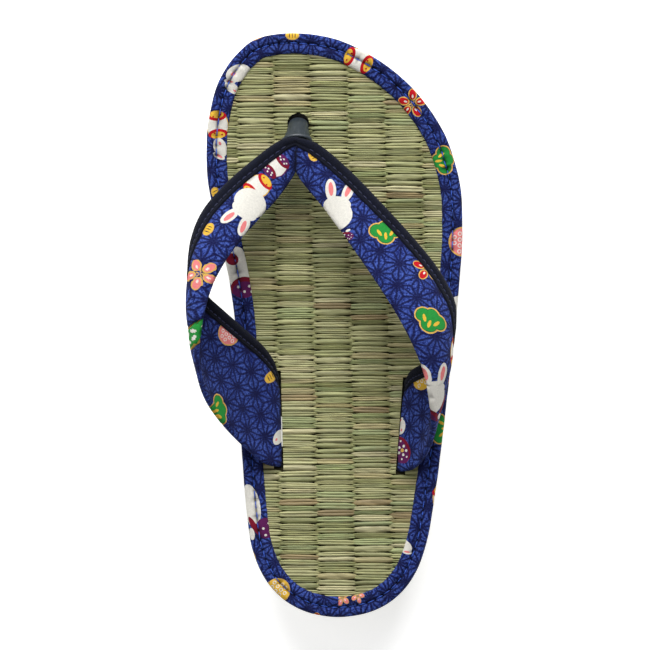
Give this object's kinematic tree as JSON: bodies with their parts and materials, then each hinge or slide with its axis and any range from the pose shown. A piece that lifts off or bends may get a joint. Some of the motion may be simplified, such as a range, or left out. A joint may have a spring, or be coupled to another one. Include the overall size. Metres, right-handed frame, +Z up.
{
  "type": "zori sandal",
  "caption": "Flat zori sandal for the right foot: a V of padded cloth straps with a toe post, a rush-mat insole with a bound edge, and a wedge sole with a wave tread.",
  "frame": {"origin": "middle of the bounding box, on the floor under the sole", "axes": "+X towards the little toe, +Y towards the toe end, +Z up"},
  "size_m": [0.1156, 0.245, 0.0638],
  "materials": {
    "sole_foam": "matt cream EVA foam with a moulded wave tread",
    "rush_mat": "woven rush in yellow-green and tan, slightly glossy along the reeds",
    "printed_cloth": "matt blue printed cotton with a navy hemp-leaf lattice and scattered motifs",
    "strap_cloth": "matt blue printed cotton over thin padding",
    "edging_cloth": "matt dark navy cotton over a soft roll",
    "sleeve_vinyl": "smooth grey vinyl with a slight sheen"
  },
  "bodies": {
    "root": {"outsole": "sole_foam", "insole": "rush_mat", "edge_binding": "printed_cloth", "upper": "strap_cloth", "strap_edging": "edging_cloth", "toe_sleeve": "sleeve_vinyl"}
  },
  "joints": []
}
